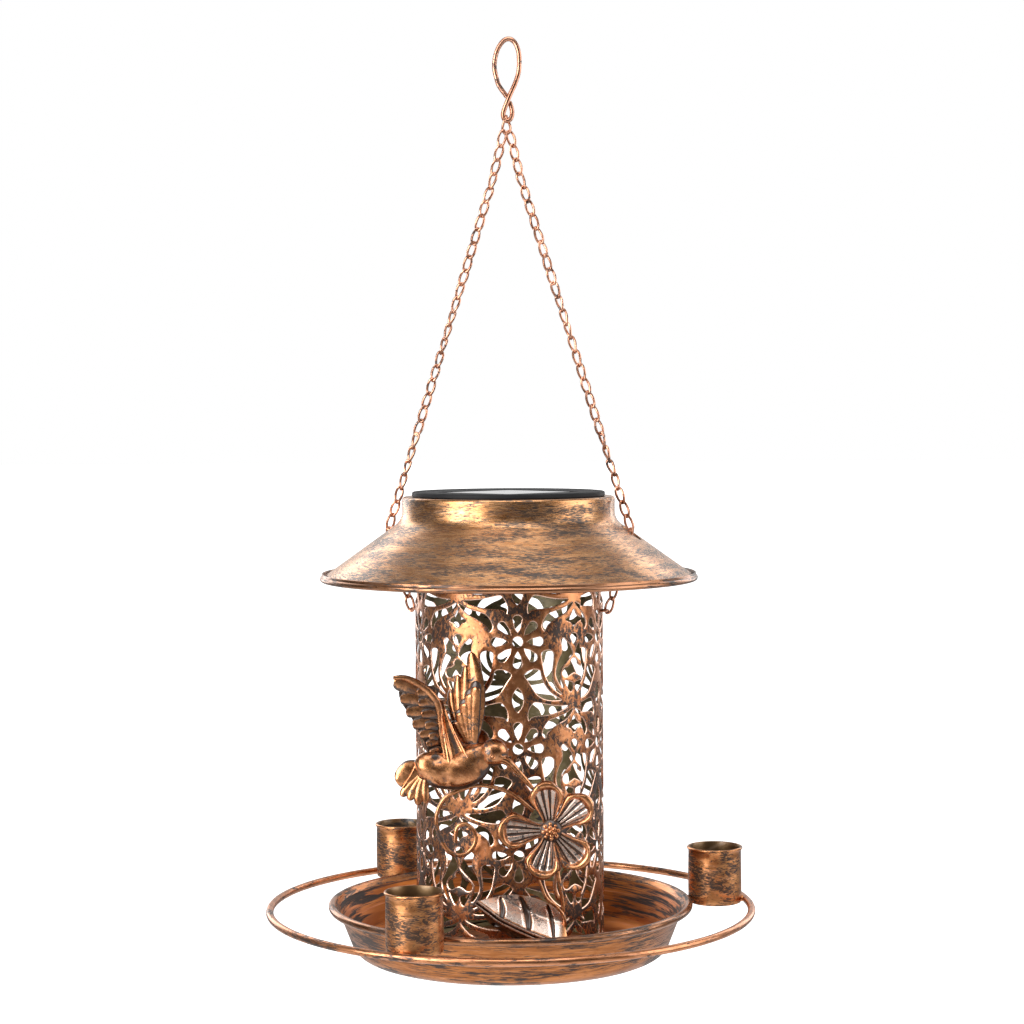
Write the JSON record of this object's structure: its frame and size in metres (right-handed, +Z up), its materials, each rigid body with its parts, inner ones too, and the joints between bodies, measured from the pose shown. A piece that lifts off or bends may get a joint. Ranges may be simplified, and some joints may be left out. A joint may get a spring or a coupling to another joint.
{
  "type": "hanging bird feeder",
  "caption": "Hanging copper solar lantern bird feeder: pierced cylinder in a round tray, sliding lid on chain legs, perch ring with cups, hummingbird and flower.",
  "frame": {"origin": "inside top of the hook's big loop, where a nail or bracket carries the feeder", "axes": "+Z up along the lantern cylinder, -Y towards the bird and flower, +X to the right seen from the front"},
  "size_m": [0.26, 0.26, 0.4846],
  "materials": {
    "chain_copper": "rose copper, satin",
    "lid_copper": "antique copper brushed over black, satin",
    "pierced_copper": "antique copper over black, olive inside, satin",
    "tray_copper": "antique copper brushed over black, satin",
    "cup_copper": "antique copper brushed over black, satin",
    "ring_copper": "antique copper, satin",
    "ornament_copper": "antique copper with black in the hollows, satin",
    "black_plastic": "fine moulded grain, matte",
    "solar_cell": "blue-black silicon",
    "clear_cover": "clear, glossy",
    "steel": "zinc plated",
    "circuit_board": "solder mask",
    "wire_red": "insulation",
    "battery_wrap": "shrink wrap",
    "white_plastic": "matte",
    "led_resin": "clear resin",
    "frosted_lens": "frosted"
  },
  "bodies": {
    "hook": {"hook": "chain_copper"},
    "top_link": {"top_link": "chain_copper"},
    "feeder": {"lantern_cylinder": "pierced_copper", "foot_tabs": "lid_copper", "foot_screws": "steel", "foot_nuts": "steel", "tray": "tray_copper", "perch_ring": "ring_copper", "cup_1": "cup_copper", "cup_2": "cup_copper", "cup_3": "cup_copper", "chain_eyes": "chain_copper", "bird_body": "ornament_copper", "bird_beak": "ornament_copper", "bird_wing_left": "ornament_copper", "bird_wing_right": "ornament_copper", "bird_tail": "ornament_copper", "flower_petals": "ornament_copper", "flower_centre": "ornament_copper", "flower_stem": "ornament_copper", "leaf_stem": "ornament_copper", "vine": "ornament_copper", "leaf": "ornament_copper"},
    "lid": {"lid_shell": "lid_copper", "seat_ring": "lid_copper", "solar_bezel": "black_plastic", "solar_cell": "solar_cell", "cell_cover": "clear_cover", "lamp_housing": "black_plastic", "housing_screws": "steel", "circuit_board": "circuit_board", "panel_wires": "wire_red", "battery": "battery_wrap", "battery_contacts": "steel", "switch_body": "steel", "led": "led_resin", "led_lens": "frosted_lens"},
    "battery_door": {"battery_door": "black_plastic"},
    "switch_knob": {"switch_knob": "white_plastic"},
    "chain_right_upper": {"chain_right_upper": "chain_copper"},
    "chain_right_lower": {"chain_right_lower": "chain_copper"},
    "chain_right_slide": {"chain_right_slide": "chain_copper"},
    "chain_left_upper": {"chain_left_upper": "chain_copper"},
    "chain_left_lower": {"chain_left_lower": "chain_copper"},
    "chain_left_slide": {"chain_left_slide": "chain_copper"}
  },
  "joints": [
    {"name": "top_link_swing", "type": "hinge", "parent": "hook", "child": "top_link", "pos_m": [0, 0, -0.041], "axis": [1, 0, 0], "range_deg": [-35, 35]},
    {"name": "feeder_swing", "type": "hinge", "parent": "top_link", "child": "feeder", "pos_m": [0, 0, -0.0485], "axis": [0, 1, 0], "range_deg": [-35, 35]},
    {"name": "lid_lift", "type": "slide", "parent": "feeder", "child": "lid", "axis": [0, 0, 1], "range_m": [0, 0.05285], "deforming": ["chain_right_upper", "chain_right_slide", "chain_right_lower", "chain_left_upper", "chain_left_slide", "chain_left_lower"]},
    {"name": "door_hinge", "type": "hinge", "parent": "lid", "child": "battery_door", "pos_m": [0, 0.0232, -0.2746], "axis": [1, 0, 0], "range_deg": [0, 100]},
    {"name": "switch_slide", "type": "slide", "parent": "lid", "child": "switch_knob", "axis": [1, 0, 0], "range_m": [0, 0.004]},
    {"name": "chain_right_upper_bend", "type": "hinge", "parent": "feeder", "child": "chain_right_upper", "pos_m": [0.00015, 0.00068, -0.0485], "axis": [0.2079, 0.9781, 0], "range_deg": [-7, 1]},
    {"name": "chain_right_lower_bend", "type": "hinge", "parent": "feeder", "child": "chain_right_lower", "pos_m": [0.05218, -0.01038, -0.29935], "axis": [0.2079, 0.9781, 0], "range_deg": [-10, 1]},
    {"name": "chain_right_slide_bend", "type": "hinge", "parent": "chain_right_lower", "child": "chain_right_slide", "pos_m": [0.06421, -0.01293, -0.25659], "axis": [0.2079, 0.9781, 0], "range_deg": [-1, 35]},
    {"name": "chain_left_upper_bend", "type": "hinge", "parent": "feeder", "child": "chain_left_upper", "pos_m": [-0.00015, -0.00068, -0.0485], "axis": [-0.2079, -0.9781, 0], "range_deg": [-7, 1]},
    {"name": "chain_left_lower_bend", "type": "hinge", "parent": "feeder", "child": "chain_left_lower", "pos_m": [-0.05218, 0.01038, -0.29935], "axis": [-0.2079, -0.9781, 0], "range_deg": [-10, 1]},
    {"name": "chain_left_slide_bend", "type": "hinge", "parent": "chain_left_lower", "child": "chain_left_slide", "pos_m": [-0.06421, 0.01293, -0.25659], "axis": [-0.2079, -0.9781, 0], "range_deg": [-1, 35]}
  ],
  "couplings": [
    {"joint": "chain_right_upper_bend", "follows": "lid_lift", "rad_per_m": -1.7847},
    {"joint": "chain_right_lower_bend", "follows": "lid_lift", "rad_per_m": -2.8782},
    {"joint": "chain_right_slide_bend", "follows": "lid_lift", "rad_per_m": 11.069},
    {"joint": "chain_left_upper_bend", "follows": "lid_lift", "rad_per_m": -1.7847},
    {"joint": "chain_left_lower_bend", "follows": "lid_lift", "rad_per_m": -2.8782},
    {"joint": "chain_left_slide_bend", "follows": "lid_lift", "rad_per_m": 11.069}
  ]
}
